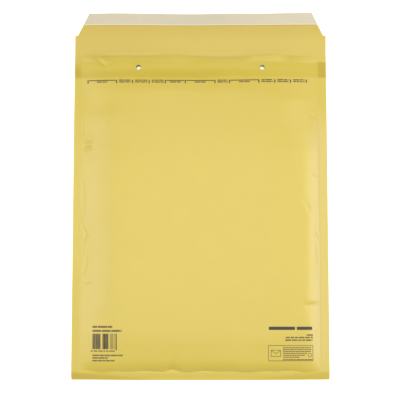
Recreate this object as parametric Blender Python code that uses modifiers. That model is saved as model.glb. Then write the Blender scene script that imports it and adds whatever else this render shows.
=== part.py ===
"""A padded mailer lying on its back with its flap open, in metres, +Z up.

The origin is on the surface that the mailer lies on, under the middle of its whole length.
X runs across the mailer, and +Y runs from the bottom weld to the flap. Along Y the shapes
below are worked out from the bottom edge, which is 0 there, and moved to the middle last.
"""

import math

import bmesh
import bpy
import numpy as np

# The pocket, the welds round it and the flap
POCKET_WIDTH = 0.273
POCKET_LENGTH = 0.361
SIDE_WELD = 0.0085
BOTTOM_WELD = 0.009
FLAP_LENGTH = 0.050
FRONT_SET_BACK = 0.003  # the padding draws the front panel's edge this far down from the flap
CLIP_START = 0.0245  # from the mouth up to where the flap's corners are cut off
CLIP_NOTCH = 0.003  # the short step in from the side where a corner's cut begins
CLIP_DEPTH = 0.017  # how far the cut has come in from the side at the flap's end

# Sheet thicknesses, and how far the empty pocket stands open
PAPER = 0.0002
FILM = 0.0030
WELDED_FILM = 0.0002
POCKET_GAP = 0.0050
SEAT_GAP = 0.0003  # between faces that touch on the real mailer

# How the padded body swells up from its welds: over a roll, the bubbles reach their full height.
# The side rolls are gathered, so each is wider at its crests and narrower between them.
BOTTOM_ROLL = 0.0175
BOTTOM_STEEPNESS = 4.2  # how quickly the bottom roll rises from its weld before it levels out
LEFT_ROLL = 0.026
LEFT_ROLL_WAVE = 0.008
LEFT_ROLL_WAVE_LENGTH = 0.100
LEFT_ROLL_CREST = 0.146  # one crest's height above the bottom edge
RIGHT_ROLL = 0.016
RIGHT_ROLL_WAVE = 0.003
RIGHT_ROLL_WAVE_LENGTH = 0.120
RIGHT_ROLL_CREST = 0.082
SWELL = 0.045  # the pocket has opened fully this far in from a weld
BACK_ROLL = 0.030
WELD_LIFT = 0.0025  # how high the welded edges stand off the surface
LIFT_FADE = 0.090  # below the mouth, the side welds come down to the surface over this length

# The mouth
BAND_TOP = 0.005  # from the front panel's edge down to the film's upper edge
BAND_WIDTH = 0.018  # along that edge the film is pressed flat on the paper
BAND_STEP = 0.0004
BAND_EDGE = 0.003
MOUTH_SAG = 0.0024  # how far the front sinks over the pressed band
MOUTH_SAG_LENGTH = 0.032
MOUTH_SAG_END = 0.011  # it has sunk fully this far below its edge
MOUTH_RIPPLE = 0.0005
MOUTH_RIPPLE_LENGTH = 0.085
MOUTH_RIPPLE_REACH = 0.020
FILM_INSET = 0.005  # from the welds to the film's cut edges

# The two holes punched through every layer
HOLE_DIAMETER = 0.0055
HOLE_SPACING = 0.142
HOLE_BELOW_MOUTH = 0.0145
HOLE_SIDES = 20

# The closing strip at the flap's end, and the liner that covers it
ADHESIVE = 0.00015
ADHESIVE_WIDTH = 0.010
ADHESIVE_FROM_TIP = 0.0015
LINER = 0.0001
LINER_WIDTH = 0.0135

# Puckers where the front panel is gathered along its side welds: the side, the height above
# the bottom edge, the width along the weld, the reach into the panel, and the height
PUCKERS = (
    (-1, 0.265, 0.012, 0.010, 0.0011),
    (-1, 0.212, 0.018, 0.012, 0.0008),
    (-1, 0.165, 0.016, 0.009, 0.0012),
    (-1, 0.127, 0.013, 0.009, 0.0010),
    (-1, 0.105, 0.012, 0.012, 0.0009),
    (-1, 0.062, 0.016, 0.010, 0.0006),
    (1, 0.300, 0.016, 0.010, 0.0006),
    (1, 0.234, 0.012, 0.014, 0.0011),
    (1, 0.196, 0.014, 0.012, 0.0013),
    (1, 0.158, 0.018, 0.008, 0.0009),
    (1, 0.118, 0.014, 0.009, 0.0007),
    (1, 0.078, 0.012, 0.013, 0.0010),
)

# Mesh lines
FINE_PITCH = 0.006  # along the front panel, for its puckers
COARSE_PITCH = 0.015  # along the other sheets
ROLL_LINES = (0.0, 0.12, 0.3, 0.52, 0.76, 1.0)  # shares of the roll
SWELL_LINES = (0.3, 0.6, 1.0)  # shares of the way from the roll's end to the swell's end
FLAT_LINES = (0.35, 1.0)  # shares of the way from the swell's end to the middle

# Worked out from the sizes above
WIDTH = POCKET_WIDTH + 2 * SIDE_WELD
MOUTH = BOTTOM_WELD + POCKET_LENGTH
FRONT_EDGE = MOUTH - FRONT_SET_BACK
LENGTH = MOUTH + FLAP_LENGTH
FILM_TOP = FRONT_EDGE - BAND_TOP
BAND_BOTTOM = FILM_TOP - BAND_WIDTH
BODY_THICKNESS = 2 * (PAPER + SEAT_GAP + FILM) + POCKET_GAP


def shoulder(share):
    """A quarter of a sine wave: it leaves 0 at an angle, as at a weld, and comes level at 1."""
    return np.sin(np.clip(share, 0, 1) * math.pi / 2)


def bulge(share):
    """An exponential rise from 0: it is steepest at the weld, and all but level at 1."""
    return 1 - np.exp(-BOTTOM_STEEPNESS * np.clip(share, 0, None))


def smooth(share):
    """Level at both ends, from 0 to 1."""
    share = np.clip(share, 0, 1)
    return share * share * (3 - 2 * share)


def from_side_weld(x):
    """How far x lies inside the nearer side weld's inner edge."""
    return POCKET_WIDTH / 2 - np.abs(x)


def from_bottom_weld(y):
    return y - BOTTOM_WELD


def wave(y, crest, length):
    """A cosine along the mailer, 1 at the crest's height."""
    return np.cos(2 * math.pi * (y - crest) / length)


def roll_width(x, y):
    """How wide the roll beside the nearer side weld is at height y."""
    left = LEFT_ROLL + LEFT_ROLL_WAVE * wave(y, LEFT_ROLL_CREST, LEFT_ROLL_WAVE_LENGTH)
    right = RIGHT_ROLL + RIGHT_ROLL_WAVE * wave(y, RIGHT_ROLL_CREST, RIGHT_ROLL_WAVE_LENGTH)
    return np.where(x < 0, left, right)


def puckers(x, y):
    """The gathers: each is a bell along the weld, and rises and fades away into the panel."""
    height = np.zeros_like(x)
    inside = np.clip(from_side_weld(x), 0, None)
    for side, middle, width, reach, peak in PUCKERS:
        along = np.exp(-(((y - middle) / (width / 2)) ** 2))
        across = inside / reach * np.exp(1 - inside / reach)
        height += peak * along * across * (np.sign(x) == side)
    return height


def back_height(x, y):
    """The back panel's upper face: flat on the surface, and raised at its welded edges."""
    level = shoulder(from_side_weld(x) / BACK_ROLL) * shoulder(from_bottom_weld(y) / BACK_ROLL)
    lift = WELD_LIFT * smooth((MOUTH - y) / LIFT_FADE)
    return PAPER + lift * (1 - level)


def mouth_droop(x, y):
    """How far the front has sunk over the pressed film, with a ripple along its edge."""
    sag_top = FRONT_EDGE - MOUTH_SAG_END
    sag = MOUTH_SAG * smooth((y - sag_top) / MOUTH_SAG_LENGTH + 1)
    reach = np.clip((y - FRONT_EDGE) / MOUTH_RIPPLE_REACH + 1, 0, 1) ** 2
    ripple = MOUTH_RIPPLE * np.sin(2 * math.pi * x / MOUTH_RIPPLE_LENGTH)
    step = BAND_STEP * smooth((y - BAND_BOTTOM) / BAND_EDGE + 1)
    return sag + ripple * reach + step


def front_height(x, y):
    """The front panel's underside, without its puckers."""
    side = from_side_weld(x)
    end = from_bottom_weld(y)
    padding = 2 * FILM + SEAT_GAP - mouth_droop(x, y)
    rolled = padding * shoulder(side / roll_width(x, y)) * bulge(end / BOTTOM_ROLL)
    opened = POCKET_GAP * shoulder(side / SWELL) * shoulder(end / SWELL)
    return back_height(x, y) + SEAT_GAP + rolled + opened


def film_share(x, y):
    """The film's thickness as a share of the full one: it is pressed flat at its cut edges."""
    side = shoulder((from_side_weld(x) - FILM_INSET) / (roll_width(x, y) - FILM_INSET))
    end = shoulder((from_bottom_weld(y) - FILM_INSET) / (BOTTOM_ROLL - FILM_INSET))
    band = smooth((BAND_BOTTOM - y) / BAND_EDGE)
    flat = WELDED_FILM / FILM
    return flat + (1 - flat) * side * end * band


def lines_across(edge, weld_line):
    """X of the mesh lines from -edge to edge: close together in the rolls, wide apart between."""
    rolled = RIGHT_ROLL + RIGHT_ROLL_WAVE
    roll = [weld_line + share * (rolled - weld_line) for share in ROLL_LINES]
    swell = [rolled + share * (SWELL - rolled) for share in SWELL_LINES]
    flat = [SWELL + share * (POCKET_WIDTH / 2 - SWELL) for share in FLAT_LINES]
    inner = [POCKET_WIDTH / 2 - inside for inside in (*roll, *swell, *flat)]
    half = sorted({round(value, 7) for value in (edge, *inner)})
    return np.array([-value for value in reversed(half[1:])] + half)


def lines_along(start, weld_line, end, pitch):
    """Y of the mesh lines of a sheet from start to end, with the bottom roll and the band marked."""
    roll = [BOTTOM_WELD + weld_line + share * (BOTTOM_ROLL - weld_line) for share in ROLL_LINES]
    body_end = BAND_BOTTOM - BAND_EDGE
    body = np.linspace(roll[-1], body_end, math.ceil((body_end - roll[-1]) / pitch) + 1)
    band = np.linspace(BAND_BOTTOM, end, math.ceil((end - BAND_BOTTOM) / pitch) + 1)
    return np.array(sorted({round(float(value), 7) for value in (start, *roll, *body, *band)}))


def material(name, colour, roughness, alpha=1.0):
    """A plain finish: a Principled BSDF of one colour."""
    made = bpy.data.materials.new(name)
    made.use_nodes = True
    made.diffuse_color = (*colour, alpha)
    shader = made.node_tree.nodes["Principled BSDF"]
    shader.inputs["Base Color"].default_value = (*colour, 1)
    shader.inputs["Roughness"].default_value = roughness
    shader.inputs["Metallic"].default_value = 0
    shader.inputs["Alpha"].default_value = alpha
    return made


def add(name, data, collection, parent=None):
    """Puts the mesh or curve in the collection as an object of that name."""
    made = bpy.data.objects.new(name, data)
    collection.objects.link(made)
    made.parent = parent
    return made


def sheet_surface(name, xs, ys, height):
    """An open grid over the given lines, lifted to height(x, y) and moved to the middle."""
    bm = bmesh.new()
    bmesh.ops.create_grid(bm, x_segments=len(xs) - 1, y_segments=len(ys) - 1, size=0.5)
    mesh = bpy.data.meshes.new(name)
    bm.to_mesh(mesh)
    bm.free()
    points = np.empty(len(mesh.vertices) * 3, np.float32)
    mesh.vertices.foreach_get("co", points)
    points = points.reshape(-1, 3)
    column = np.rint((points[:, 0] + 0.5) * (len(xs) - 1)).astype(int)
    row = np.rint((points[:, 1] + 0.5) * (len(ys) - 1)).astype(int)
    x = xs[column]
    y = ys[row]
    placed = np.stack([x, y - LENGTH / 2, height(x, y)], axis=1)
    mesh.vertices.foreach_set("co", placed.astype(np.float32).ravel())
    mesh.shade_smooth()
    mesh.update()
    return mesh, x, y


def thicken(sheet, thickness, offset):
    """Gives an open surface its thickness, above it for an offset of 1 and below it for -1."""
    solid = sheet.modifiers.new("Thickness", "SOLIDIFY")
    solid.thickness = thickness
    solid.offset = offset
    solid.use_even_offset = True
    solid.use_rim = True
    return solid


def cut(sheet, cutters):
    for cutter in cutters:
        hole = sheet.modifiers.new("Cut " + cutter.name, "BOOLEAN")
        hole.operation = "DIFFERENCE"
        hole.object = cutter
        hole.solver = "EXACT"


def punches(collection):
    """One cylinder for each punched hole, longer than the mailer is thick."""
    made = []
    for side in (-1, 1):
        bm = bmesh.new()
        radius = HOLE_DIAMETER / 2
        bmesh.ops.create_cone(
            bm,
            cap_ends=True,
            segments=HOLE_SIDES,
            radius1=radius,
            radius2=radius,
            depth=4 * BODY_THICKNESS,
        )
        mesh = bpy.data.meshes.new("punch")
        bm.to_mesh(mesh)
        bm.free()
        punch = add(f"punch_{side:+d}", mesh, collection)
        punch.location = (side * HOLE_SPACING / 2, MOUTH - HOLE_BELOW_MOUTH - LENGTH / 2, 0)
        made.append(punch)
    return made


def clip_x(y):
    """Where the slanting cut of the flap's corner is, at height y above the bottom edge."""
    share = (y - MOUTH - CLIP_START) / (FLAP_LENGTH - CLIP_START)
    return WIDTH / 2 - CLIP_NOTCH - share * (CLIP_DEPTH - CLIP_NOTCH)


def corner_knives(collection):
    """One prism for each corner of the flap, which it cuts off along the slanting line."""
    made = []
    past = FLAP_LENGTH  # how far a knife runs past the paper
    start = MOUTH + CLIP_START
    for side in (-1, 1):
        outline = (
            (WIDTH / 2 + past, start),
            (clip_x(start), start),
            (clip_x(LENGTH), LENGTH),
            (clip_x(LENGTH), LENGTH + past),
            (WIDTH / 2 + past, LENGTH + past),
        )
        bm = bmesh.new()
        corners = [bm.verts.new((side * x, y - LENGTH / 2, -BODY_THICKNESS)) for x, y in outline]
        base = bm.faces.new(corners)
        raised = bmesh.ops.extrude_face_region(bm, geom=[base])["geom"]
        top = [part for part in raised if isinstance(part, bmesh.types.BMVert)]
        bmesh.ops.translate(bm, verts=top, vec=(0, 0, 2 * BODY_THICKNESS))
        bmesh.ops.recalc_face_normals(bm, faces=bm.faces)
        mesh = bpy.data.meshes.new("corner_knife")
        bm.to_mesh(mesh)
        bm.free()
        made.append(add(f"corner_knife_{side:+d}", mesh, collection))
    return made


def back_panel(collection, parent, cutters):
    """The long kraft sheet: the back of the pocket, and the flap with its corners cut off."""
    ys = lines_along(0, 0, MOUTH, COARSE_PITCH)
    flap = (MOUTH + CLIP_START / 2, LENGTH)
    xs = lines_across(WIDTH / 2, 0)
    mesh, _, _ = sheet_surface("back_panel", xs, np.append(ys, flap), back_height)
    panel = add("back_panel", mesh, collection, parent)
    thicken(panel, PAPER, -1)
    cut(panel, cutters)
    mesh.materials.append(material("kraft_inside", (0.69, 0.53, 0.12), 0.6))
    return panel


def front_panel(collection, parent, cutters):
    """The kraft sheet over the pocket, gathered along its side welds."""

    def height(x, y):
        return front_height(x, y) + puckers(x, y)

    xs = lines_across(WIDTH / 2, 0)
    ys = lines_along(0, 0, FRONT_EDGE, FINE_PITCH)
    mesh, _, _ = sheet_surface("front_panel", xs, ys, height)
    panel = add("front_panel", mesh, collection, parent)
    thicken(panel, PAPER, 1)
    cut(panel, cutters)
    mesh.materials.append(material("kraft_outside", (0.71, 0.55, 0.09), 0.4))
    return panel


def bubble_film(name, height, offset, collection, parent, cutters, finish):
    """A sheet of bubble film, from the paper's side at height(x, y) to its full thickness."""
    edge = POCKET_WIDTH / 2 - FILM_INSET
    start = BOTTOM_WELD + FILM_INSET
    xs = lines_across(edge, FILM_INSET)
    ys = lines_along(start, FILM_INSET, FILM_TOP, COARSE_PITCH)
    mesh, x, y = sheet_surface(name, xs, ys, height)
    film = add(name, mesh, collection, parent)
    fullness = film.vertex_groups.new(name="fullness")
    for index, share in enumerate(film_share(x, y)):
        fullness.add([index], float(share), "REPLACE")
    thickness = thicken(film, FILM, offset)
    thickness.vertex_group = fullness.name
    cut(film, cutters)
    mesh.materials.append(finish)
    return film


def flap_strip(name, start, end, inset, level, thickness, collection, parent, finish):
    """A flat strip across the flap from start to end, its ends cut along the flap's slant."""
    outline = [
        (clip_x(start) - inset, start),
        (clip_x(end) - inset, end),
        (inset - clip_x(end), end),
        (inset - clip_x(start), start),
    ]
    curve = bpy.data.curves.new(name, "CURVE")
    curve.dimensions = "2D"
    curve.fill_mode = "BOTH"
    curve.extrude = thickness / 2
    spline = curve.splines.new("POLY")
    spline.points.add(len(outline) - 1)
    for point, (x, y) in zip(spline.points, outline):
        point.co = (x, y - LENGTH / 2, 0, 1)
    spline.use_cyclic_u = True
    strip = add(name, curve, collection, parent)
    strip.location = (0, 0, level + thickness / 2)
    curve.materials.append(finish)
    return strip


def main():
    for old in list(bpy.data.objects):
        bpy.data.objects.remove(old)
    mailer = bpy.data.collections.new("padded_mailer")
    cutters = bpy.data.collections.new("cutters")
    for collection in (mailer, cutters):
        bpy.context.scene.collection.children.link(collection)
    root = add("padded_mailer_origin", None, mailer)

    holes = punches(cutters)
    knives = corner_knives(cutters)
    for cutter in (*holes, *knives):
        cutter.hide_render = True
        cutter.display_type = "WIRE"

    back_panel(mailer, root, (*holes, *knives))
    front_panel(mailer, root, holes)

    film = material("bubble_film", (0.82, 0.84, 0.82), 0.25, alpha=0.5)

    def back_film_height(x, y):
        return back_height(x, y) + SEAT_GAP

    def front_film_height(x, y):
        return front_height(x, y) - SEAT_GAP

    bubble_film("back_bubble_film", back_film_height, 1, mailer, root, holes, film)
    bubble_film("front_bubble_film", front_film_height, -1, mailer, root, holes, film)

    adhesive_end = LENGTH - ADHESIVE_FROM_TIP
    adhesive_level = PAPER + SEAT_GAP
    glue = material("hot_melt_adhesive", (0.80, 0.76, 0.62), 0.3)
    flap_strip(
        "adhesive_strip",
        adhesive_end - ADHESIVE_WIDTH,
        adhesive_end,
        ADHESIVE_FROM_TIP,
        adhesive_level,
        ADHESIVE,
        mailer,
        root,
        glue,
    )
    silicone = material("release_paper", (0.65, 0.58, 0.42), 0.35)
    flap_strip(
        "release_liner",
        LENGTH - LINER_WIDTH,
        LENGTH,
        0,
        adhesive_level + ADHESIVE + SEAT_GAP,
        LINER,
        mailer,
        root,
        silicone,
    )


main()
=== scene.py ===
"""The looks of a padded mailer that lies on its back with its flap open, in metres, +Z up.

Across is X. Lengths up the mailer are counted from its bottom edge, and called up. Each sheet
is a surface worked out over a net of lines across and up, with a level for every crossing.
"""

import math

import bpy
import numpy as np
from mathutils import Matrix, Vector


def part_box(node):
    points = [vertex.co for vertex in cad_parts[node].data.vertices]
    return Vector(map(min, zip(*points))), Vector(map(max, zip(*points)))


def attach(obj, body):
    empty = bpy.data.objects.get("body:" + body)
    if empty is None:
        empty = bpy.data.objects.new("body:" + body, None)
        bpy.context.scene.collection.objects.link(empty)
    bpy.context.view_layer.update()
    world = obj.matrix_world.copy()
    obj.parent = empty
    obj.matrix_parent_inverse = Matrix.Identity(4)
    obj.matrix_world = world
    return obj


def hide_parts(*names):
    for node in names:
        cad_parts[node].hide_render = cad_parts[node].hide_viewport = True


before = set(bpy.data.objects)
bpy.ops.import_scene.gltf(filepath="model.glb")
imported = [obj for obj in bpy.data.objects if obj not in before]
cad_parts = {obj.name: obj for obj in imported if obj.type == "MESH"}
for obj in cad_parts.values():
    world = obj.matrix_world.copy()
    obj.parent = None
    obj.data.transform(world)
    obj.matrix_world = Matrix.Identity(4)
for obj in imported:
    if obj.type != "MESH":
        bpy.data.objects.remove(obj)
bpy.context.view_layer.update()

# Back panel
# The long kraft sheet is the back of the pocket and, past the mouth, the flap. It is gold
# kraft paper, cut off at the flap's two corners, and welded to the front panel along three
# sides. It lies flat, and only its welded edges are held up a little by the padding.
low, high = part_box("back_panel")
width = high.x - low.x
bottom_y = low.y
# The front's edge lies set_back below the mouth in the solids, and near the mouth here
set_back = 0.003
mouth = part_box("front_panel")[1].y - bottom_y + set_back
flap_end = high.y - bottom_y
side_weld = 0.0085
weld = 0.009
pocket_half = width / 2 - side_weld
pocket_mid = -0.0014
paper = 0.0002
gap = 0.0003

# The welded edges: how high the padding lifts them, how steeply they hang down outwards from
# there, how far the bottom one bows, and how its corners are bent down
weld_lift = 0.0025
weld_lift_fade = 0.090
back_roll = 0.030
right_hang = 0.08
bottom_hang = 0.12
hang_start = 0.0015
bottom_bow = 0.0005
corner_bend = 0.16
corner_bend_side = 0.0098
corner_bend_reach = 0.100
corner_bend_soft = 0.0012

# The flap's corners, cut off on a slant after a short step, and the power that its curl follows
corner_start = mouth + 0.0243
corner_notch = 0.003
corner_depth = 0.0164
notch_rise = 0.0003
curl_power = 1.7

# The two punched holes, and the pitch of the net's lines round them and elsewhere
hole_radius = 0.00275
hole_up = mouth - 0.0145
hole_x = 0.071
hole_net = 0.003
hole_pitch = 0.001
back_pitch = 0.0024
weld_pitch = 0.0025
flap_pitch = 0.0013
tiny = 1e-6
sharp_angle = math.radians(50)
kraft_inside = (0.690, 0.530, 0.116)
# Tones of painted shade and painted light on the flap
kraft_painted_shade = (0.655, 0.488, 0.100)
kraft_painted_light = (0.737, 0.568, 0.127)

# How high the flap's end has curled up, across it
flap_curl = (
    (-0.145, 0.0022),
    (-0.095, 0.0041),
    (-0.010, 0.0001),
    (0.040, 0.0034),
    (0.062, 0.0029),
    (0.120, 0.0060),
    (0.145, 0.0066),
)


def shoulder(share):
    """A quarter of a sine wave: it leaves 0 at an angle, as at a weld, and comes level at 1."""
    return np.sin(np.clip(share, 0, 1) * math.pi / 2)


def bulge(share):
    """An exponential rise from 0 to 1: it is steepest at the start, and evens out."""
    return 1 - np.exp(-np.clip(share, 0, None))


def ramp(share):
    """A straight rise from 0 that rounds off to 1: share over the cube root of 1 + share cubed."""
    share = np.clip(share, 0, None)
    return share / np.cbrt(1 + share**3)


def smooth(share):
    """Level at both ends, from 0 to 1."""
    share = np.clip(share, 0, 1)
    return share * share * (3 - 2 * share)


def eased(place, points):
    """A value that eases from each (place, value) point to the next one."""
    places, values = (np.array(column) for column in zip(*points))
    index = np.clip(np.searchsorted(places, place, side="right") - 1, 0, len(places) - 2)
    share = smooth((place - places[index]) / (places[index + 1] - places[index]))
    return values[index] * (1 - share) + values[index + 1] * share


def lines(start, *runs):
    """Net lines from start through each run's end, evenly spaced in a run, its pitch at most."""
    found = [np.array([start])]
    for end, pitch in runs:
        count = max(1, math.ceil((end - start) / pitch - tiny))
        found.append(np.linspace(start, end, count + 1)[1:])
        start = end
    return np.concatenate(found)


def mirrored(half):
    """Net lines on both sides of the middle, from the ones at and right of it."""
    return np.concatenate([-half[:0:-1], half])


def net(across, up):
    """The crossings of the net, row by row up the mailer."""
    return np.meshgrid(across, up)


def round_holes(x, up):
    """Bends the net lines round each punched hole, from a square of lines into a circle.

    A crossing's ring is its larger distance from the hole, across or up, as a share of the
    square's half side. On and inside the square it goes to the circle of that share of the
    hole's radius, and it comes back to its own place at twice the square's half side.
    """
    for side in (-1, 1):
        aside, above = x - side * hole_x, up - hole_up
        ring = np.maximum(abs(aside), abs(above)) / hole_net
        circle = hole_radius * ring / np.maximum(np.hypot(aside, above), tiny)
        back = smooth(ring - 1)
        x = side * hole_x + aside * (circle * (1 - back) + back)
        up = hole_up + above * (circle * (1 - back) + back)
    return x, up


def outside_holes(x, up):
    """Which cells of the net are paper and not hole, by the middle of each cell."""
    middle_x = (x[:-1, :-1] + x[1:, 1:]) / 2
    middle_up = (up[:-1, :-1] + up[1:, 1:]) / 2
    kept = np.ones(middle_x.shape, bool)
    for side in (-1, 1):
        ring = np.maximum(abs(middle_x - side * hole_x), abs(middle_up - hole_up))
        kept &= ring > hole_net
    return kept


def cells(number):
    """The four corners of each cell of a net, in turn, from the numbers of its crossings."""
    return np.stack([number[:-1, :-1], number[:-1, 1:], number[1:, 1:], number[1:, :-1]], -1)


def in_the_scene(name, data):
    """A new object in the scene that holds a mesh, a light or a camera."""
    thing = bpy.data.objects.new(name, data)
    bpy.context.scene.collection.objects.link(thing)
    return thing


def closed_sheet(name, x, up, lower, upper, kept):
    """A closed mesh between two levels over a net: both faces, and walls round what is kept.

    A wall stands on each line between a kept cell and one that isn't kept, or the outside.
    """
    rows, columns = x.shape
    one_side = rows * columns
    corners = cells(np.arange(one_side).reshape(rows, columns))
    framed = np.pad(kept, 1)
    faces = [corners[kept] + one_side, corners[kept][:, ::-1]]
    for turn, (down, right) in enumerate(((0, 1), (1, 2), (2, 1), (1, 0))):
        beside = framed[down : down + rows - 1, right : right + columns - 1]
        edge = corners[kept & ~beside]
        first, second = edge[:, turn], edge[:, (turn + 1) % 4]
        faces.append(np.stack([first, second, second + one_side, first + one_side], -1))
    levels = [np.stack([x, up + bottom_y, level], -1).reshape(-1, 3) for level in (lower, upper)]
    used, faces = np.unique(np.concatenate(faces), return_inverse=True)
    mesh = bpy.data.meshes.new(name)
    mesh.from_pydata(np.concatenate(levels)[used], [], faces.reshape(-1, 4))
    mesh.shade_smooth()
    mesh.set_sharp_from_angle(angle=sharp_angle)
    mesh.update()
    return in_the_scene(name, mesh)


def corner_drop(x, up):
    """How far the bottom corners hang down from the lifted weld, bent along a slanting line.

    The line runs from corner_bend_side up the side edge down to the bottom edge at
    corner_bend_reach from it, and below it the welded edge slopes down to the table.
    """
    line = corner_bend_side * (1 - (width / 2 - abs(x)) / corner_bend_reach)
    return corner_bend * (np.hypot(line - up, corner_bend_soft) + line - up) / 2


def from_side(x):
    """How far in from the nearer side weld a point is. The pocket lies a little left."""
    return pocket_half - abs(x - pocket_mid)


def bowed(x, up):
    """Where the bottom edge bows: its corners are a little further up than its middle."""
    return up + bottom_bow * (2 * x / width) ** 2 * (1 - up / weld).clip(0)


def hang(x, up):
    """How far the right and the bottom weld hang down outwards, the bottom one from a soft start."""
    below = np.clip(weld - up, 0, None)
    bottom = bottom_hang * below**2 / (below + hang_start)
    return right_hang * np.clip(x - pocket_half, 0, None) + bottom


def back_level(x, up):
    """The back panel's upper face: flat, and lifted in a soft roll at its welded edges."""
    inside = shoulder(from_side(x) / back_roll) * shoulder((up - weld) / back_roll)
    lift = weld_lift * smooth((mouth - up) / weld_lift_fade)
    return paper + np.maximum(lift * (1 - inside) - corner_drop(x, up) - hang(x, up), 0)


def flap_level(x, up):
    """The flap's curl: it rises along its length as a power of it, more towards the right."""
    share = np.clip((up - mouth) / (flap_end - mouth), 0, 1)
    return eased(x, flap_curl) * share**curl_power


def cut_half(up):
    """Half the panel's width: full up to the corner's notch, then in along the slanting cut."""
    slant = corner_notch + (corner_depth - corner_notch) * np.clip(
        (up - corner_start) / (flap_end - corner_start), 0, 1
    )
    return width / 2 - slant * np.clip((up - corner_start) / notch_rise, 0, 1)


class Link:
    """A socket of a material's nodes, on which sums, differences and products add Math nodes."""

    def __init__(self, nodes, socket):
        self.nodes = nodes
        self.socket = socket

    def __add__(self, other):
        return self.nodes.maths("ADD", self, other)

    def __sub__(self, other):
        return self.nodes.maths("SUBTRACT", self, other)

    def __rsub__(self, other):
        return self.nodes.maths("SUBTRACT", other, self)

    def __mul__(self, other):
        return self.nodes.maths("MULTIPLY", self, other)

    __radd__ = __add__
    __rmul__ = __mul__


class Finish:
    """A material, and short ways to add and join its nodes."""

    def __init__(self, name):
        self.material = bpy.data.materials.new(name)
        self.material.use_nodes = True
        self.tree = self.material.node_tree
        self.shader = self.tree.nodes["Principled BSDF"]

    def add(self, kind, settings=None, out=0, **sockets):
        """Adds a node: its settings first, then each socket's value or link, by its name.

        A socket is named as Blender names it, or i and its number where names repeat.
        """
        node = self.tree.nodes.new(kind)
        for key, value in (settings or {}).items():
            setattr(node, key, value)
        for key, value in sockets.items():
            numbered = key[1:].isdigit()
            self.feed(node.inputs[int(key[1:]) if numbered else key.replace("_", " ")], value)
        return Link(self, node.outputs[out])

    def feed(self, socket, value):
        if isinstance(value, Link):
            self.tree.links.new(value.socket, socket)
        elif socket.type == "RGBA":
            socket.default_value = (*value, 1)
        else:
            socket.default_value = value

    def maths(self, operation, first, second=0.0):
        return self.add("ShaderNodeMath", {"operation": operation}, i0=first, i1=second)

    def place(self):
        """Object coordinates, which are metres in the mailer's own frame."""
        return self.add("ShaderNodeTexCoord", out="Object")

    def along(self, axis):
        return self.add("ShaderNodeSeparateXYZ", out=axis, Vector=self.place())

    def stretched(self, scale):
        return self.add("ShaderNodeMapping", Vector=self.place(), Scale=scale)

    def noise(self, scale, detail=3.0, stretch=(1, 1, 1), roughness=0.55):
        """Cloudy noise about 0 to 1, with scale in blotches per metre."""
        return self.add(
            "ShaderNodeTexNoise",
            out="Fac",
            Vector=self.stretched(stretch),
            Scale=scale,
            Detail=detail,
            Roughness=roughness,
        )

    def window(self, value, start, end, soft):
        """1 where value lies between start and end, and 0 outside, with edges soft wide."""
        rise, fall = (
            self.add(
                "ShaderNodeMapRange",
                {"interpolation_type": "SMOOTHSTEP"},
                i0=value,
                i1=edge - soft / 2,
                i2=edge + soft / 2,
            )
            for edge in (start, end)
        )
        return rise * (1 - fall)

    def blend(self, share, first, second):
        """A colour mixed from first to second by share."""
        return self.add("ShaderNodeMix", {"data_type": "RGBA"}, out=2, i0=share, i6=first, i7=second)

    def layered(self, colour, *layers):
        """The colour under layers of (mask, strength, tone), each mixed in over the last."""
        for mask, strength, tone in layers:
            colour = self.blend(mask * strength, colour, tone)
        return colour

    def paint(self, **sockets):
        for key, value in sockets.items():
            self.feed(self.shader.inputs[key.replace("_", " ")], value)

    def bump(self, height, strength, distance):
        return self.add("ShaderNodeBump", Strength=strength, Distance=distance, Height=height)


def tinted(colour, factor):
    """The colour made darker or lighter by a factor."""
    return tuple(channel * factor for channel in colour)


# Kraft paper's clouds, streaks, fibres and flecks: how many in a metre, and how drawn out across
cloud_scale = 55
streak_scale = 240
streak_stretch = (0.12, 1, 1)
fibre_scale = 2600
fibre_stretch = (0.35, 1, 1)
fleck_scale = 900
fleck_stretch = (0.25, 1, 1)
fleck_least = 0.74
paper_relief = 0.00008


def kraft(finish, colour):
    """Kraft paper's colour and relief: clouds of pulp, streaks along the machine and fibres."""
    clouds = finish.noise(cloud_scale, detail=4)
    streaks = finish.noise(streak_scale, detail=2, stretch=streak_stretch)
    fibres = finish.noise(fibre_scale, detail=2, stretch=fibre_stretch, roughness=0.7)
    specks = finish.noise(fleck_scale, detail=1, stretch=fleck_stretch, roughness=0.9)
    flecks = finish.maths("GREATER_THAN", specks, fleck_least)
    grained = finish.layered(
        finish.blend(clouds, tinted(colour, 0.965), tinted(colour, 1.035)),
        (streaks, 0.5, tinted(colour, 0.97)),
        (flecks, 0.10, tinted(colour, 0.6)),
        (fibres, 0.10, tinted(colour, 1.25)),
    )
    relief = finish.bump(fibres * 0.7 + clouds * 0.3, strength=0.35, distance=paper_relief)
    return grained, relief


back_across = mirrored(
    lines(
        0,
        (hole_x - hole_net, back_pitch),
        (hole_x + hole_net, hole_pitch),
        (pocket_half, back_pitch),
        (width / 2, weld_pitch),
    )
)
back_up = lines(
    0,
    (weld, weld_pitch),
    (hole_up - hole_net, back_pitch),
    (hole_up + hole_net, hole_pitch),
    (mouth, back_pitch),
    (corner_start, weld_pitch),
    (corner_start + notch_rise, notch_rise),
    (flap_end, flap_pitch),
)
x, up = net(back_across, back_up)
kept = outside_holes(x, up)
x = x * cut_half(up) / (width / 2)
x, up = round_holes(x, bowed(x, up))
upper = back_level(x, up) + flap_level(x, up)
back_sheet = closed_sheet("back_sheet", x, up, upper - paper, upper, kept)

# Where the flap is darker, at its end and on its left, which is painted shade of its curl and of
# the weaker light from the left, and where it is paler by the mouth, which is painted light
beyond = 1.0
shade_end = (flap_end - 0.026, beyond)
shade_left = (-beyond, -0.055)
painted_light_up = (mouth - 0.0030, mouth + 0.0045)
painted_light_across = (-0.112, 0.106)

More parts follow.
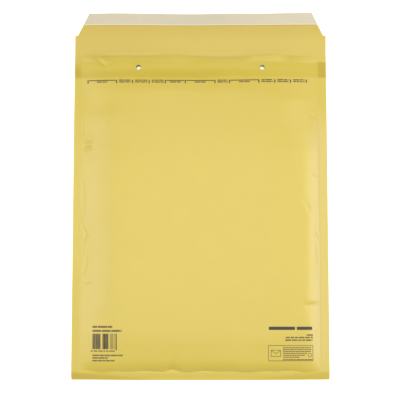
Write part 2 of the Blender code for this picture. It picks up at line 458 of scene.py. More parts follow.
back_finish = Finish("kraft_of_the_back")
colour, relief = kraft(back_finish, kraft_inside)
across = back_finish.along("X")
upward = back_finish.along("Y") - bottom_y
# Painted shade towards the flap's curled end and on its left
painted_flap_shade = back_finish.window(upward, *shade_end, soft=0.022)
painted_flap_shade = painted_flap_shade + back_finish.window(across, *shade_left, soft=0.080) * (1 - painted_flap_shade) * 0.5
# Painted light by the mouth, which takes out the shade that the raised lip casts on the flap
painted_light_by_mouth = back_finish.window(upward, *painted_light_up, soft=0.004)
painted_light_by_mouth = painted_light_by_mouth * back_finish.window(across, *painted_light_across, soft=0.025)
colour = back_finish.layered(colour, (painted_flap_shade, 1.0, kraft_painted_shade), (painted_light_by_mouth, 0.9, kraft_painted_light))
back_finish.paint(Base_Color=colour, Roughness=0.62, Normal=relief)
back_sheet.data.materials.append(back_finish.material)
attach(back_sheet, "root")
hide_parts("back_panel")

# Bubble films
# Two sheets of clear polythene bubble film line the pocket, with their bubbles towards the
# paper and their flat side inwards. They are welded to the panels at the sides and the
# bottom, and pressed flat along a band just below the mouth.
film = 0.003
film_skin = 0.0002
film_inset = 0.005
film_rise = 0.0125
film_top = mouth - 0.008
band_low = film_top - 0.018
band_edge = 0.003
bubble_pitch = 0.0115
bubble_radius = 0.0049
dome_power = 0.35
film_pitch = 0.0019
film_hole_pitch = 0.0015
film_band_pitch = 0.003
polythene = (0.83, 0.86, 0.86)

# How far the empty pocket stands open, and how far in from its welds it comes to that: swell,
# and a share of swell_more that grows to the right and up the mailer
pocket_gap = 0.005
swell = 0.045
swell_more = 0.055
swell_least = 0.1
swell_low_share = 0.4
swell_low_end = 0.190
swell_low_fade = 0.110

# The padding's slope at the bottom weld, wider at the corners, and how gently the slope at each
# side weld starts
bottom_roll = 0.0039
corner_roll_more = 0.8
corner_roll_start = 0.100
corner_roll_run = 0.036
left_start = 0.0040
right_start = 0.0015

# How the front sinks towards its mouth, where the film is pressed flat, and curls at its lip
mouth_sag = 0.0030
mouth_sag_start = mouth - 0.046
mouth_sag_run = 0.032
band_step = 0.0004
lip_reach = 0.020
lip_curl_reach = 0.0078
lip_curl_power = 1.4

# How far the lip turns down at its edge, across it
lip_curl = (
    (-0.145, 0.0040),
    (-0.113, 0.0036),
    (-0.090, 0.0032),
    (-0.060, 0.0033),
    (-0.030, 0.0022),
    (0.000, 0.0033),
    (0.050, 0.0032),
    (0.064, 0.0008),
    (0.088, 0.0006),
    (0.103, 0.0034),
    (0.118, 0.0028),
    (0.145, 0.0018),
)

# How wide the slope down to each side weld is, up the mailer
left_roll = (
    (0.000, 0.022),
    (0.050, 0.018),
    (0.075, 0.022),
    (0.100, 0.029),
    (0.120, 0.029),
    (0.139, 0.038),
    (0.165, 0.034),
    (0.180, 0.029),
    (0.200, 0.025),
    (0.217, 0.024),
    (0.237, 0.028),
    (0.257, 0.033),
    (0.275, 0.042),
    (0.295, 0.027),
    (0.317, 0.040),
    (0.345, 0.044),
)
right_roll = (
    (0.000, 0.0165),
    (0.040, 0.0110),
    (0.062, 0.0110),
    (0.070, 0.0125),
    (0.075, 0.0160),
    (0.083, 0.0165),
    (0.092, 0.0135),
    (0.105, 0.0128),
    (0.120, 0.0120),
    (0.150, 0.0118),
    (0.172, 0.0120),
    (0.184, 0.0110),
    (0.192, 0.0140),
    (0.201, 0.0190),
    (0.208, 0.0170),
    (0.217, 0.0165),
    (0.257, 0.0172),
    (0.275, 0.0240),
    (0.295, 0.0310),
    (0.315, 0.0340),
    (0.333, 0.0520),
    (0.345, 0.0580),
)

# Sine waves across: the height of each one, its radians in a metre and its start
roll_waves = ((0.08, 61, 0.8), (0.05, 139, 2.0))
start_waves = ((0.0006, 83, 0.5), (0.0004, 190, 1.0))
lip_waves = ((0.0005, 74, 0.4), (0.0003, 171, 1.9))

# How far above the bottom weld the padding starts, which fades out by start_fade_end, and the
# pucker there
start_up = 0.0008
start_fade_end = 0.045
start_fade = 0.030
pucker = 0.0030
pucker_x = -0.031
pucker_width = 0.0075


def waves(x, terms):
    """A sum of sine waves across."""
    return sum(height * np.sin(x * turn + start) for height, turn, start in terms)


def side_roll(x, up):
    """How wide the padding's slope down to the side weld is."""
    return np.where(x < 0, eased(up, left_roll), eased(up, right_roll))


def end_roll(x):
    """The same at the bottom weld: it wanders a little across, and is wider at the corners."""
    corner = corner_roll_more * smooth((abs(x) - corner_roll_start) / corner_roll_run)
    return bottom_roll * (1 + waves(x, roll_waves) + corner)


def from_end(x, up):
    """How far up a point is from where the padding starts, just above the bottom weld.

    The start wanders across, and one pucker, a bell curve, pushes it up.
    """
    pushed = pucker * np.exp(-(((x - pucker_x) / pucker_width) ** 2))
    start = start_up + waves(x, start_waves) + pushed
    return up - weld - start * np.clip((start_fade_end - up) / start_fade, 0, 1)


def mouth_droop(x, up):
    """How far the front has sunk towards its mouth, with a curl and a ripple along its lip.

    It sinks by about the thickness of the film that is pressed flat there. The curl and the
    ripple grow towards the edge, as powers of the share of their reach that is passed.
    """
    sag = mouth_sag * smooth((up - mouth_sag_start) / mouth_sag_run)
    step = band_step * smooth((up - band_low) / band_edge + 1)
    curled = np.clip((up - mouth + lip_curl_reach) / lip_curl_reach, 0, 1) ** lip_curl_power
    rippled = np.clip((up - mouth + lip_reach) / lip_reach, 0, 1) ** 2
    return sag + step + eased(x, lip_curl) * curled + waves(x, lip_waves) * rippled


def front_level(x, up):
    """The front panel's underside, before its creases.

    It is the back's level and a gap, then the padding's height, which rises over the rolls
    from the welds, then the height that the empty pocket stands open, which rises further in,
    and furthest at the top right. The slopes start gently, the left one most.
    """
    side = from_side(x)
    end = from_end(x, up)
    inward = side.clip(0)
    late = inward**2 / (inward + np.where(x < 0, left_start, right_start))
    padding = ramp(late / side_roll(x, up)) * bulge(end / end_roll(x))
    padding = padding * (2 * film + gap - mouth_droop(x, up))
    high_up = smooth((up - swell_low_end) / swell_low_fade)
    rightwards = np.clip(x / pocket_half, swell_least, 1)
    wide = swell + swell_more * rightwards * (swell_low_share + (1 - swell_low_share) * high_up)
    opened = pocket_gap * shoulder(side / wide) * shoulder(end / swell)
    return back_level(x, up) + gap + padding + opened


def film_share(x, up):
    """The film's thickness as a share of the full one: it is pressed flat at its cut edges."""
    side = ramp((from_side(x) - film_inset) / (side_roll(x, up) - film_inset / 2))
    end = shoulder((from_end(x, up) - film_inset) / film_rise)
    pressed = smooth((band_low - up) / band_edge)
    flat = film_skin / film
    return flat + (1 - flat) * side * end * pressed


def bubbles(x, up):
    """0 between the bubbles and 1 at the top of one: a dome round the nearest of two lattices.

    Bubbles stand in rows, and each next row is shifted by half a pitch, so they are the points
    of two rectangular lattices. A dome is 1 less the squared distance, to a low power.
    """
    row_pitch = bubble_pitch * math.sqrt(3)
    distance = []
    for shift in (0, 0.5):
        across = (x / bubble_pitch + shift + 0.5) % 1 - 0.5
        along = (up / row_pitch + shift + 0.5) % 1 - 0.5
        distance.append(np.hypot(across * bubble_pitch, along * row_pitch))
    nearest = np.minimum(*distance) / bubble_radius
    return np.clip(1 - nearest**2, 0, 1) ** dome_power


# The front's relief: the bubbles' imprint, the waves' height, how far in from the welds they
# fade, the groove along each weld, and how the creases are shaped
imprint = 0.00004
body_wave = 0.0003
relief_fade = 0.012
weld_groove = 0.00012
weld_groove_width = 0.0008
ridge_share = 0.7
crease_end_power = 0.7

# Pairs of crossing waves on the front: each pair's share, then each wave's radians in a metre
# across, those up, and its start
body_waves = (
    (1.00, (43, 17, 1.1), (-12, 31, 0.4)),
    (0.35, (97, -41, 2.2), (29, 83, 1.7)),
)

# The start and end of each crease, across and up, then its width and its depth
creases = (
    ((-0.1335, 0.2606), (-0.1215, 0.2640), 0.0017, 0.0016),
    ((-0.1325, 0.2756), (-0.1330, 0.3034), 0.0013, 0.0006),
    ((-0.1306, 0.1840), (-0.1314, 0.2262), 0.0013, 0.0006),
    ((-0.1264, 0.1625), (-0.1334, 0.1795), 0.0010, 0.0009),
    ((-0.1306, 0.1535), (-0.1262, 0.1640), 0.0010, 0.0009),
    ((-0.1302, 0.1410), (-0.1306, 0.1555), 0.0010, 0.0008),
    ((-0.1260, 0.1270), (-0.1262, 0.1405), 0.0010, 0.0007),
    ((-0.1308, 0.1175), (-0.1258, 0.1295), 0.0010, 0.0008),
    ((-0.1322, 0.1066), (-0.1222, 0.1071), 0.0012, 0.0006),
    ((-0.1085, 0.1318), (-0.0925, 0.1275), 0.0018, 0.0003),
    ((-0.1020, 0.2018), (-0.0890, 0.1962), 0.0018, 0.0003),
    ((0.1250, 0.2312), (0.1372, 0.2280), 0.0012, 0.0008),
    ((0.1360, 0.2958), (0.1262, 0.3010), 0.0013, 0.0006),
    ((0.1175, 0.2010), (0.1290, 0.1820), 0.0021, 0.0004),
    ((0.1285, 0.1670), (0.1330, 0.1570), 0.0011, 0.0007),
    ((0.1312, 0.1580), (0.1310, 0.1230), 0.0011, 0.0005),
    ((0.1165, 0.0826), (0.1350, 0.0846), 0.0026, 0.0007),
    ((-0.1200, 0.3672), (-0.1080, 0.3572), 0.0022, 0.0007),
    ((-0.1060, 0.3590), (-0.0930, 0.3672), 0.0026, 0.0003),
    ((-0.1375, 0.3640), (-0.1210, 0.3622), 0.0020, 0.0002),
    ((-0.1100, 0.3525), (-0.1040, 0.3500), 0.0020, 0.0004),
    ((0.0800, 0.3640), (0.1000, 0.3600), 0.0030, 0.0004),
)


def creased(x, up):
    """The creases' height: along each one a narrow valley, with a low soft ridge beside it.

    With t the share of the way along the crease and d the distance from its line in widths,
    the valley is exp(-d squared) and the ridge is a bell twice as wide, two widths aside.
    Both fade at the crease's ends as a power of the sine of t's half turn.
    """
    height = np.zeros_like(x)
    for (x0, up0), (x1, up1), spread, depth in creases:
        run_x, run_up = x1 - x0, up1 - up0
        length = math.hypot(run_x, run_up)
        t = ((x - x0) * run_x + (up - up0) * run_up) / length**2
        aside = ((x - x0) * run_up - (up - up0) * run_x) / length / spread
        fade = np.sin(np.clip(t, 0, 1) * math.pi) ** crease_end_power
        ridge = ridge_share * np.exp(-(((aside + 2) / 2) ** 2))
        height += depth * fade * (ridge - np.exp(-(aside**2)))
    return height


def undulation(x, up):
    """Broad soft waves of an empty mailer's face, and a trace of the bubbles under it.

    Each pair of waves is a product of two sines, whose crests run in different directions.
    """
    height = imprint * bubbles(x, up)
    for share, *pair in body_waves:
        one, other = (np.sin(x * turn_x + up * turn_up + start) for turn_x, turn_up, start in pair)
        height = height + body_wave * share * one * other
    return height


def front_under(x, up):
    """The front panel's underside with all its relief, which fades out at the welds."""
    side = from_side(x)
    inside = smooth(side / relief_fade) * smooth((up - weld) / relief_fade)
    groove = np.exp(-((side / weld_groove_width) ** 2)) * (up > weld)
    groove = np.maximum(groove, np.exp(-(((up - weld) / weld_groove_width) ** 2)) * (side > 0))
    relief = undulation(x, up) * inside + creased(x, up) - weld_groove * groove
    return np.maximum(front_level(x, up) + relief, back_level(x, up) + gap)


film_across = mirrored(
    lines(
        0,
        (hole_x - hole_net, film_pitch),
        (hole_x + hole_net, film_hole_pitch),
        (pocket_half - film_inset, film_pitch),
    )
)
film_up = lines(
    weld + film_inset,
    (band_low, film_pitch),
    (hole_up - hole_net, film_band_pitch),
    (hole_up + hole_net, film_hole_pitch),
    (film_top, film_band_pitch),
)
x, up = net(film_across, film_up)
kept = outside_holes(x, up)
x, up = round_holes(x, up)
room = film * film_share(x, up)
dome = film_skin + (room - film_skin) * bubbles(x, up)
film_finish = Finish("clear_polythene")
cloudy = film_finish.noise(scale=90, detail=2)
film_finish.paint(Base_Color=film_finish.blend(cloudy, tinted(polythene, 0.94), polythene))
film_finish.paint(Roughness=cloudy * 0.15 + 0.12, Alpha=cloudy * 0.12 + 0.34, IOR=1.5)

flat_side = back_level(x, up) + gap + room
back_bubbles = closed_sheet("back_bubbles", x, up, flat_side - dome, flat_side, kept)
flat_side = front_under(x, up) - gap - room
front_bubbles = closed_sheet("front_bubbles", x, up, flat_side, flat_side + dome, kept)
for lining, node in ((back_bubbles, "back_bubble_film"), (front_bubbles, "front_bubble_film")):
    lining.data.materials.append(film_finish.material)
    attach(lining, "root")
    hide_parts(node)

# Front panel
# The kraft sheet over the pocket. It is puffed up by the films under it, and has puckered
# and creased where it comes down to its side welds. Along the band under the mouth the film
# is melted onto it, so the paper is darker there, and darkest where the band crosses a weld.
kraft_outside = (0.708, 0.545, 0.076)
# Painted shade where less light falls
falloff_shade_tone = (0.676, 0.517, 0.066)
# Painted sheen off the slopes and the right weld
painted_sheen = (0.696, 0.534, 0.137)
weld_painted_sheen = (0.734, 0.572, 0.118)
shaded = (0.600, 0.455, 0.048)
melted = (0.625, 0.472, 0.028)
band_foot_tone = (0.575, 0.422, 0.022)
soaked = (0.552, 0.374, 0.002)
# Painted shade at the bent corners
corner_shade_tone = (0.570, 0.405, 0.060)

# How far the front's edge is drawn back from the mouth, across it
drawn_back = (
    (-0.145, -0.0002),
    (-0.133, -0.0002),
    (-0.113, 0.0001),
    (-0.098, 0.0004),
    (-0.064, 0.0006),
    (-0.032, -0.0007),
    (-0.012, 0.0010),
    (0.011, 0.0022),
    (0.040, 0.0023),
    (0.061, 0.0012),
    (0.088, -0.0010),
    (0.115, 0.0009),
    (0.145, 0.0010),
)

# The net is finest over the puckered slopes beside the side welds and above the bottom one
slope_start = 0.095
slope_steep = 0.118
bottom_slope_end = 0.030
front_across = mirrored(
    lines(
        0,
        (hole_x - hole_net, 0.0026),
        (hole_x + hole_net, hole_pitch),
        (slope_start, 0.0022),
        (slope_steep, 0.0010),
        (pocket_half + 0.001, 0.00075),
        (width / 2, 0.0015),
    )
)
front_up = lines(
    0,
    (weld - 0.001, 0.0010),
    (bottom_slope_end, 0.0008),
    (hole_up - hole_net, 0.0018),
    (hole_up + hole_net, hole_pitch),
    (mouth, 0.001),
)
x, up = net(front_across, front_up)
kept = outside_holes(x, up)
x, up = round_holes(x, bowed(x, up))
up = up - eased(x, drawn_back) * ((up - film_top) / (mouth - film_top)).clip(0)
under = front_under(x, up)
front_sheet = closed_sheet("front_sheet", x, up, under, under + paper, kept)

# Where the front's tones start and end, across or up. A noise makes some edges wander, by up to
# half of wander_width times the factor that stands beside wander
wander_width = 0.004
band_up = (band_low + 0.0010, film_top + 0.0008)
right_patch = (pocket_half - 0.0010, beyond)
left_patch = (-beyond, -pocket_half - 0.0022)
left_patch_up = (band_low + 0.0010, film_top - 0.0040)
shade_above = (mouth - 0.100, beyond)
unshaded_above = (0.085, beyond)
left_weld = (-beyond, -pocket_half - 0.0010)
left_weld_up = (-beyond, 0.130)
right_slope = (pocket_half - 0.010, beyond)
right_weld = (pocket_half, beyond)
right_up = (0.020, 0.290)
left_slope = (0.002 - pocket_half, -0.102)
left_slope_up = (0.070, 0.290)
band_foot_up = (band_low, band_low + 0.0085)
band_foot_across = (-0.200, 0.025)
darker_weld_up = (-beyond, weld - 0.0008)
lip_up = (film_top, beyond)
lip_across = (-beyond, pocket_half - 0.002)
shaded_lip_across = (-beyond, -0.100)

front_finish = Finish("kraft_of_the_front")
colour, relief = kraft(front_finish, kraft_outside)
window = front_finish.window
across = front_finish.along("X")
upward = front_finish.along("Y") - bottom_y
wander = (front_finish.noise(scale=45, detail=2) - 0.5) * wander_width
blotch = front_finish.noise(scale=45, detail=3)
band = window(upward + wander, *band_up, soft=0.0020)
patches = window(across + wander, *left_patch, soft=0.0068) * window(upward, *left_patch_up, soft=0.008)
patches = patches + band * window(across + wander * 0.2, *right_patch, soft=0.0008)
# Painted shade: the front is darker towards the mouth and the bottom, and low on the left weld, where less
# light falls
low_weld = window(across, *left_weld, soft=0.003) * window(upward, *left_weld_up, soft=0.060)
low_down = 1 - window(upward, *unshaded_above, soft=0.100)
painted_falloff_shade = window(upward, *shade_above, soft=0.090) + low_down * 0.5 + low_weld * 0.8
# Painted sheen: the right slope, the right weld and the left slope are paler and whiter, as where the side
# lights shine off the kraft
lit = window(upward, *right_up, soft=0.050)
left_painted_sheen = window(across + wander * 2.0, *left_slope, soft=0.016)
left_painted_sheen = left_painted_sheen * window(upward + wander * 4.0, *left_slope_up, soft=0.040)
# The band is darker along its lower part, over its left half
darker_band_foot = window(upward + wander * 2.0, *band_foot_up, soft=0.0050)
darker_band_foot = darker_band_foot * window(across + wander * 4.0, *band_foot_across, soft=0.030)
lip = window(upward, *lip_up, soft=0.0016) * window(across, *lip_across, soft=0.004)

# Painted shade lies outside the line along which each corner is bent, and is stronger on the left
bend_line = corner_bend_side * (1 - width / 2 / corner_bend_reach)
bend_line = front_finish.maths("ABSOLUTE", across) * (corner_bend_side / corner_bend_reach) + bend_line
painted_corner_shade = window(upward - bend_line + wander * 0.3, -beyond, -0.0008, soft=0.0040)
painted_corner_shade = painted_corner_shade * (window(across, -beyond, 0.0, soft=0.1) * 0.36 + 0.20)
colour = front_finish.layered(
    colour,
    (painted_falloff_shade, 1.0, falloff_shade_tone),
    (lit * window(across, *right_slope, soft=0.010), 0.85, painted_sheen),
    (lit * window(across, *right_weld, soft=0.002), 0.85, weld_painted_sheen),
    (left_painted_sheen, 0.42, painted_sheen),
    (band, blotch * 0.4 + 0.80, melted),
    (darker_band_foot, 0.60, band_foot_tone),
    (patches, 1.0, soaked),
    (painted_corner_shade, 1.0, corner_shade_tone),
    # The bottom weld is a little darker, in the band's tone
    (window(upward + wander * 0.2, *darker_weld_up, soft=0.0010), 0.10, melted),
    # The lip is a little paler, in the same tone
    (lip, 0.20, painted_sheen),
    # Painted shade on the lip's left part
    (lip * window(across + wander * 2.0, *shaded_lip_across, soft=0.012), 0.55, shaded),
)
sheen = blotch * 0.08 + 0.36
front_finish.paint(Base_Color=colour, Roughness=sheen, Normal=relief, Specular_IOR_Level=0.8)
front_sheet.data.materials.append(front_finish.material)
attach(front_sheet, "root")
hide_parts("front_panel")

# Print on the front
# Thin dark ink straight on the kraft: a row of fold marks under the band, a block of bars
# and some lines at the lower left, and more lines with a framed panel at the lower right.
# Words are plain strokes of ink in their places, and nothing is spelt out.
ink_height = 0.00004
ink_pitch = 0.0015
ink = (0.050, 0.040, 0.026)
fine_print = (0.180, 0.126, 0.042)
bold_print = (0.120, 0.088, 0.036)

# How long a word may be, in heights of its line, and the least that is left over for one
word_lengths = (1.6, 5.0)
word_least = 0.3
line_points = 9


def block(x0, up0, x1, up1):
    """A rectangle of ink, as a net of points across and up."""
    return net(lines(x0, (x1, ink_pitch)), lines(up0, (up1, ink_pitch)))


def stroke(x, up, thickness):
    """A line of ink along points: each point goes half the thickness aside, both ways."""
    run_x, run_up = np.gradient(x), np.gradient(up)
    half = thickness / 2 / np.hypot(run_x, run_up)
    aside_x, aside_up = run_up * half, run_x * half
    return np.stack([x + aside_x, x - aside_x]), np.stack([up - aside_up, up + aside_up])


def straight(start, end, thickness):
    """A straight line of ink from one point to another."""
    x, up = np.linspace(start, end, line_points).T
    return stroke(x, up, thickness)


def frame_of(x0, up0, x1, up1, rule):
    """The four sides of a rectangle, ruled in ink."""
    return [
        block(x0, up0, x1, up0 + rule),
        block(x0, up1 - rule, x1, up1),
        block(x0, up0 + rule, x0 + rule, up1 - rule),
        block(x1 - rule, up0 + rule, x1, up1 - rule),
    ]


def words(x0, x1, up, height, seed, gap_share=0.5):
    """A line of plain strokes from x0 to x1, as long and as far apart as words would be."""
    draw = np.random.default_rng(seed)
    found, start = [], x0
    while start < x1 - height * word_least:
        end = min(x1, start + height * draw.uniform(*word_lengths))
        found.append(block(start, up - height / 2, end, up + height / 2))
        start = end + height * gap_share
    return found


def text_block(rows):
    """The strokes of several lines of words, from what words takes for each of them."""
    return [mark for row in rows for mark in words(*row)]


def printed(name, tone, nets):
    """Flat ink of one tone that follows the front, from nets of points across and up."""
    points, faces, count = [], [], 0
    for x, up in nets:
        level = front_under(x, up) + paper + ink_height
        points.append(np.stack([x, up + bottom_y, level], -1).reshape(-1, 3))
        faces.append(cells(np.arange(x.size).reshape(x.shape) + count).reshape(-1, 4))
        count += x.size
    mesh = bpy.data.meshes.new(name)
    mesh.from_pydata(np.concatenate(points), [], np.concatenate(faces))
    mesh.shade_smooth()
    finish = Finish(name + "_ink")
    worn = finish.noise(scale=1500, detail=2)
    finish.paint(Base_Color=finish.blend(worn * 0.5, tone, tinted(tone, 1.5)), Roughness=0.5)
    mesh.materials.append(finish.material)
    piece = in_the_scene(name, mesh)
    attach(piece, "root")


# The fold marks stand in a row that slopes up to the right and bows. Wide gaps between them are
# bridged by a bracket over one line of words, and the others hold two lines
marks_up = 0.3383
marks_slope = 0.0050
marks_bow = 0.100
left_mark_x = (-0.1293, -0.0961, -0.0778, -0.0586, -0.0402, -0.0173)
right_mark_x = (0.0166, 0.0334, 0.0669, 0.0853, 0.1035, 0.1218)
mark_x = left_mark_x + right_mark_x
mark_height = 0.0040
mark_width = 0.0013
marks_low = marks_up - mark_height / 2
marks_top = marks_up + mark_height / 2
bracket_rule = 0.0010
bracket_inset = 0.0010
bracket_gap = 0.022
bracket_words = 0.0124
bracket_words_up = marks_up - 0.0004
print_height = 0.0015
words_inset = (0.0029, 0.0021)
words_up = (marks_up + 0.0016, marks_up - 0.0005)
next_row_seed = 50


def along_the_row(nets):
    """The nets moved up to the row's line: by slope times x, and bow times x squared."""
    return [(x, up + marks_slope * x + marks_bow * x**2) for x, up in nets]


marks = [block(place - mark_width / 2, marks_low, place + mark_width / 2, marks_top) for place in mark_x]
captions = []
for number, (start, end) in enumerate(zip(mark_x, mark_x[1:])):
    if end - start > bracket_gap:
        marks.append(block(start + bracket_inset, marks_top - bracket_rule, end - bracket_inset, marks_top))
        first = (start + end - bracket_words) / 2
        captions += words(first, first + bracket_words, bracket_words_up, print_height, number)
        continue
    for row, row_up in enumerate(words_up):
        seed = number + next_row_seed * row
        captions += words(start + words_inset[0], end - words_inset[1], row_up, print_height, seed)
printed("fold_marks", ink, along_the_row(marks))
printed("fold_captions", fine_print, along_the_row(captions))

# Three groups of bars: where each starts and ends, and how much of it is ink. A long bar ends
# the block, and stands a little lower
bar_groups = ((-0.1208, -0.1115, 0.80), (-0.1094, -0.1029, 0.86), (-0.1011, -0.0945, 0.36))
bars_low = 0.0346
bars_high = 0.0518
bar_pitch = 0.0010
bar_spread = (0.6, 1.4)
bar_least = 0.0002
long_bar = (-0.0945, -0.0935)
long_bar_drop = 0.0015
bars = [block(long_bar[0], bars_low - long_bar_drop, long_bar[1], bars_high)]
draw = np.random.default_rng(7)
for start, end, share in bar_groups:
    while start < end - bar_least:
        bar = bar_pitch * share * draw.uniform(*bar_spread)
        bars.append(block(start, bars_low, min(end, start + bar), bars_high))
        start += bar + bar_pitch * (1 - share) * draw.uniform(*bar_spread)
printed("bar_block", ink, bars)

# Lines of words: where each starts and ends, its height up and its size, its seed and its gaps
lines_at_the_bars = (
    (-0.1210, -0.0982, 0.0594, 0.0022, 12, 0.35),
    (-0.1210, -0.0879, 0.0549, 0.0022, 13, 0.35),
)
lines_under_the_bars = (
    (-0.1229, -0.0950, 0.0325, 0.0013, 11, 0.70),
    (-0.1209, -0.0867, 0.0277, 0.0017, 14, 0.35),
    (-0.1209, -0.1034, 0.0248, 0.0016, 15, 0.35),
    (-0.1209, -0.0959, 0.0218, 0.0016, 16, 0.35),
)
lines_in_the_panel = (
    (0.0921, 0.1240, 0.0362, 0.0011, 30, 0.40),
    (0.0921, 0.1240, 0.0341, 0.0011, 31, 0.40),
    (0.0921, 0.1240, 0.0320, 0.0011, 32, 0.40),
    (0.0921, 0.1190, 0.0299, 0.0011, 33, 0.40),
    (0.0921, 0.1172, 0.0278, 0.0011, 34, 0.40),
    (0.0921, 0.1113, 0.0257, 0.0011, 35, 0.40),
)
last_line_in_the_panel = (0.0921, 0.1256, 0.0229, 0.0011, 36, 0.30)
lines_over_the_panel = (
    (0.1190, 0.1261, 0.0503, 0.0017, 21),
    (0.0953, 0.1261, 0.0475, 0.0017, 22),
    (0.0946, 0.1261, 0.0446, 0.0017, 23),
)
printed("lower_left_lines", tinted(fine_print, 0.9), text_block(lines_at_the_bars))
printed("lower_left_fine", fine_print, text_block(lines_under_the_bars))

# The framed panel holds a plain envelope sign, rows of small strokes and a ring
panel = (0.0756, 0.0214, 0.1261, 0.0390)
rule = 0.0006
sign = (0.0786, 0.0262, 0.0896, 0.0338)
sign_fold = 0.0034
sign_middle = ((sign[0] + sign[2]) / 2, sign[1] + sign_fold)
ring_middle = (0.1224, 0.0280)
ring_radius = 0.0020
ring_points = 33
turn = np.linspace(0, 2 * math.pi, ring_points)
ring_x = ring_middle[0] + ring_radius * np.cos(turn)
ring_up = ring_middle[1] + ring_radius * np.sin(turn)
panel_ink = frame_of(*panel, rule) + frame_of(*sign, rule)
panel_ink.append(straight((sign[0] + rule, sign[3] - rule), sign_middle, rule))
panel_ink.append(straight(sign_middle, (sign[2] - rule, sign[3] - rule), rule))
panel_ink.append(stroke(ring_x, ring_up, rule))
panel_ink += words(*last_line_in_the_panel)
printed("framed_panel", tinted(bold_print, 1.2), panel_ink)
printed("lower_right_fine", fine_print, text_block(lines_in_the_panel + lines_over_the_panel))

# Two solid bars above them, as high as a heading
heading_low = 0.0560
heading_high = 0.0596
heading_bars = ((0.0764, 0.1058), (0.1078, 0.1252))
printed("heading", ink, [block(start, heading_low, end, heading_high) for start, end in heading_bars])

# Closing strip
# A line of cream hot melt along the flap's end, under a strip of grey-beige release paper
# as long as the flap is wide there. Both were cut through with the flap's corners.
glue = 0.00015
glue_low = flap_end - 0.0115
glue_high = flap_end - 0.0015
glue_inset = 0.0015
lump = 0.0002
liner = 0.0001
liner_low = flap_end - 0.0135
liner_lower_edge = (-beyond, liner_low + 0.0012)
liner_lit_right = (0.060, beyond)
liner_grain = 0.00005
hot_melt = (0.78, 0.72, 0.55)
release = (0.646, 0.577, 0.420)
release_edge = (0.84, 0.72, 0.46)
strip_columns = 141
strip_rows = 11


def flap_strip(name, ends_up, base, thickness, inset, node):
    """A strip across the flap that follows its curl, its ends cut along the flap's slant."""
    share, up = net(np.linspace(-1, 1, strip_columns), np.linspace(*ends_up, strip_rows))
    x = share * (cut_half(up) - inset)
    lower = flap_level(x, up) + base
    whole = np.ones((strip_rows - 1, strip_columns - 1), bool)
    strip = closed_sheet(name, x, up, lower, lower + thickness, whole)
    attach(strip, "root")
    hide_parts(node)
    return strip


glue_strip = flap_strip(
    "glue_strip",
    (glue_low, glue_high),
    base=paper + gap,
    thickness=glue,
    inset=glue_inset,
    node="adhesive_strip",
)
glue_finish = Finish("hot_melt")
lumps = glue_finish.noise(scale=400, detail=2)
glue_finish.paint(
    Base_Color=glue_finish.blend(lumps, tinted(hot_melt, 0.92), hot_melt),
    Roughness=lumps * 0.1 + 0.2,
    Normal=glue_finish.bump(lumps, strength=0.4, distance=lump),
)
glue_strip.data.materials.append(glue_finish.material)

liner_strip = flap_strip(
    "liner_strip",
    (liner_low, flap_end),
    base=paper + 2 * gap + glue,
    thickness=liner,
    inset=0,
    node="release_liner",
)
liner_finish = Finish("release_paper")
mottle = liner_finish.noise(scale=60, detail=3)
upward = liner_finish.along("Y") - bottom_y
lower_edge = liner_finish.window(upward, *liner_lower_edge, soft=0.0006)
# Painted light: the liner is lighter towards its right end, where the flap's curl tilts it to the light
painted_light_right = liner_finish.window(liner_finish.along("X"), *liner_lit_right, soft=0.070)
grain = liner_finish.noise(scale=1800, detail=2)
shade = liner_finish.layered(
    liner_finish.blend(mottle, tinted(release, 0.96), tinted(release, 1.04)),
    (painted_light_right, 1.0, tinted(release, 1.05)),
    (lower_edge, 0.85, release_edge),
)
liner_finish.paint(
    Base_Color=shade,
    Roughness=mottle * 0.1 + 0.35,
    Normal=liner_finish.bump(grain, strength=0.2, distance=liner_grain),
)
liner_strip.data.materials.append(liner_finish.material)

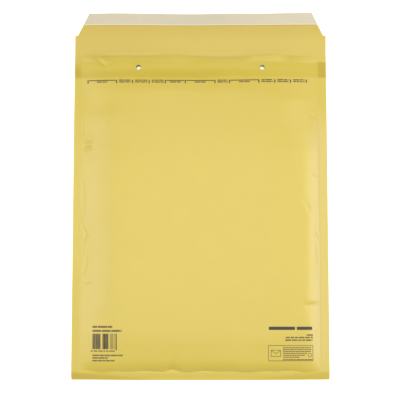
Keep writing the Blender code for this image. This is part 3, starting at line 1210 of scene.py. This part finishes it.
# Studio
# A white light table, a soft light on each side and one above, behind the flap.
floor_half = 6.0
floor_whites = ((0.93, 0.93, 0.93), (0.95, 0.95, 0.95))
floor_glow = 0.7
floor_sides = np.array([-floor_half, floor_half])
floor_x, floor_y = net(floor_sides, floor_sides)
floor_points = np.stack([floor_x, floor_y, np.zeros_like(floor_x)], -1).reshape(-1, 3)
floor_mesh = bpy.data.meshes.new("table")
floor_mesh.from_pydata(floor_points, [], [(0, 1, 3, 2)])
table = in_the_scene("table", floor_mesh)
table_finish = Finish("white_table")
table_finish.paint(
    Base_Color=table_finish.blend(table_finish.noise(scale=30, detail=2), *floor_whites),
    Roughness=0.9,
    Emission_Color=(1.0, 1.0, 1.0),
    Emission_Strength=floor_glow,
)
floor_mesh.materials.append(table_finish.material)


def soft_light(name, place, size, power):
    """A square area light at place that faces the mailer's middle."""
    lamp = bpy.data.lights.new(name, "AREA")
    lamp.size = size
    lamp.energy = power
    light = in_the_scene(name, lamp)
    light.location = place
    turn = math.atan2(place[1], place[0]) + math.pi / 2
    tilt = math.atan2(math.hypot(place[0], place[1]), place[2])
    light.rotation_euler = (tilt, 0, turn)


soft_light("left_softbox", (-1.35, 0.10, 1.20), size=1.2, power=13)
soft_light("right_softbox", (1.35, 0.10, 1.10), size=1.2, power=16)
soft_light("overhead", (0, 0.10, 2.30), size=1.4, power=12)

ambient = 0.33
world = bpy.data.worlds.new("studio")
world.use_nodes = True
background = world.node_tree.nodes["Background"]
background.inputs["Color"].default_value = (1, 1, 1, 1)
background.inputs["Strength"].default_value = ambient
bpy.context.scene.world = world
bpy.context.scene.view_settings.view_transform = "Standard"

# The camera looks down from nearer the bottom end, as in the photo. Its focal length was
# measured in pixels of the photo, which is 400 pixels wide
camera_distance = 1.300
camera_tilt = math.radians(6.07)
camera_x = -0.0005
camera_aim = 0.2032 + bottom_y
focal_pixels = 1139.3
photo_pixels = 400
sensor_width = 36
nearest_seen = 0.01
camera = in_the_scene("camera", bpy.data.cameras.new("camera"))
camera.data.sensor_width = sensor_width
camera.data.lens = focal_pixels / photo_pixels * sensor_width
camera.data.clip_start = nearest_seen
camera.location = (
    camera_x,
    camera_aim - camera_distance * math.sin(camera_tilt),
    camera_distance * math.cos(camera_tilt),
)
camera.rotation_euler = (camera_tilt, 0, 0)
bpy.context.scene.camera = camera
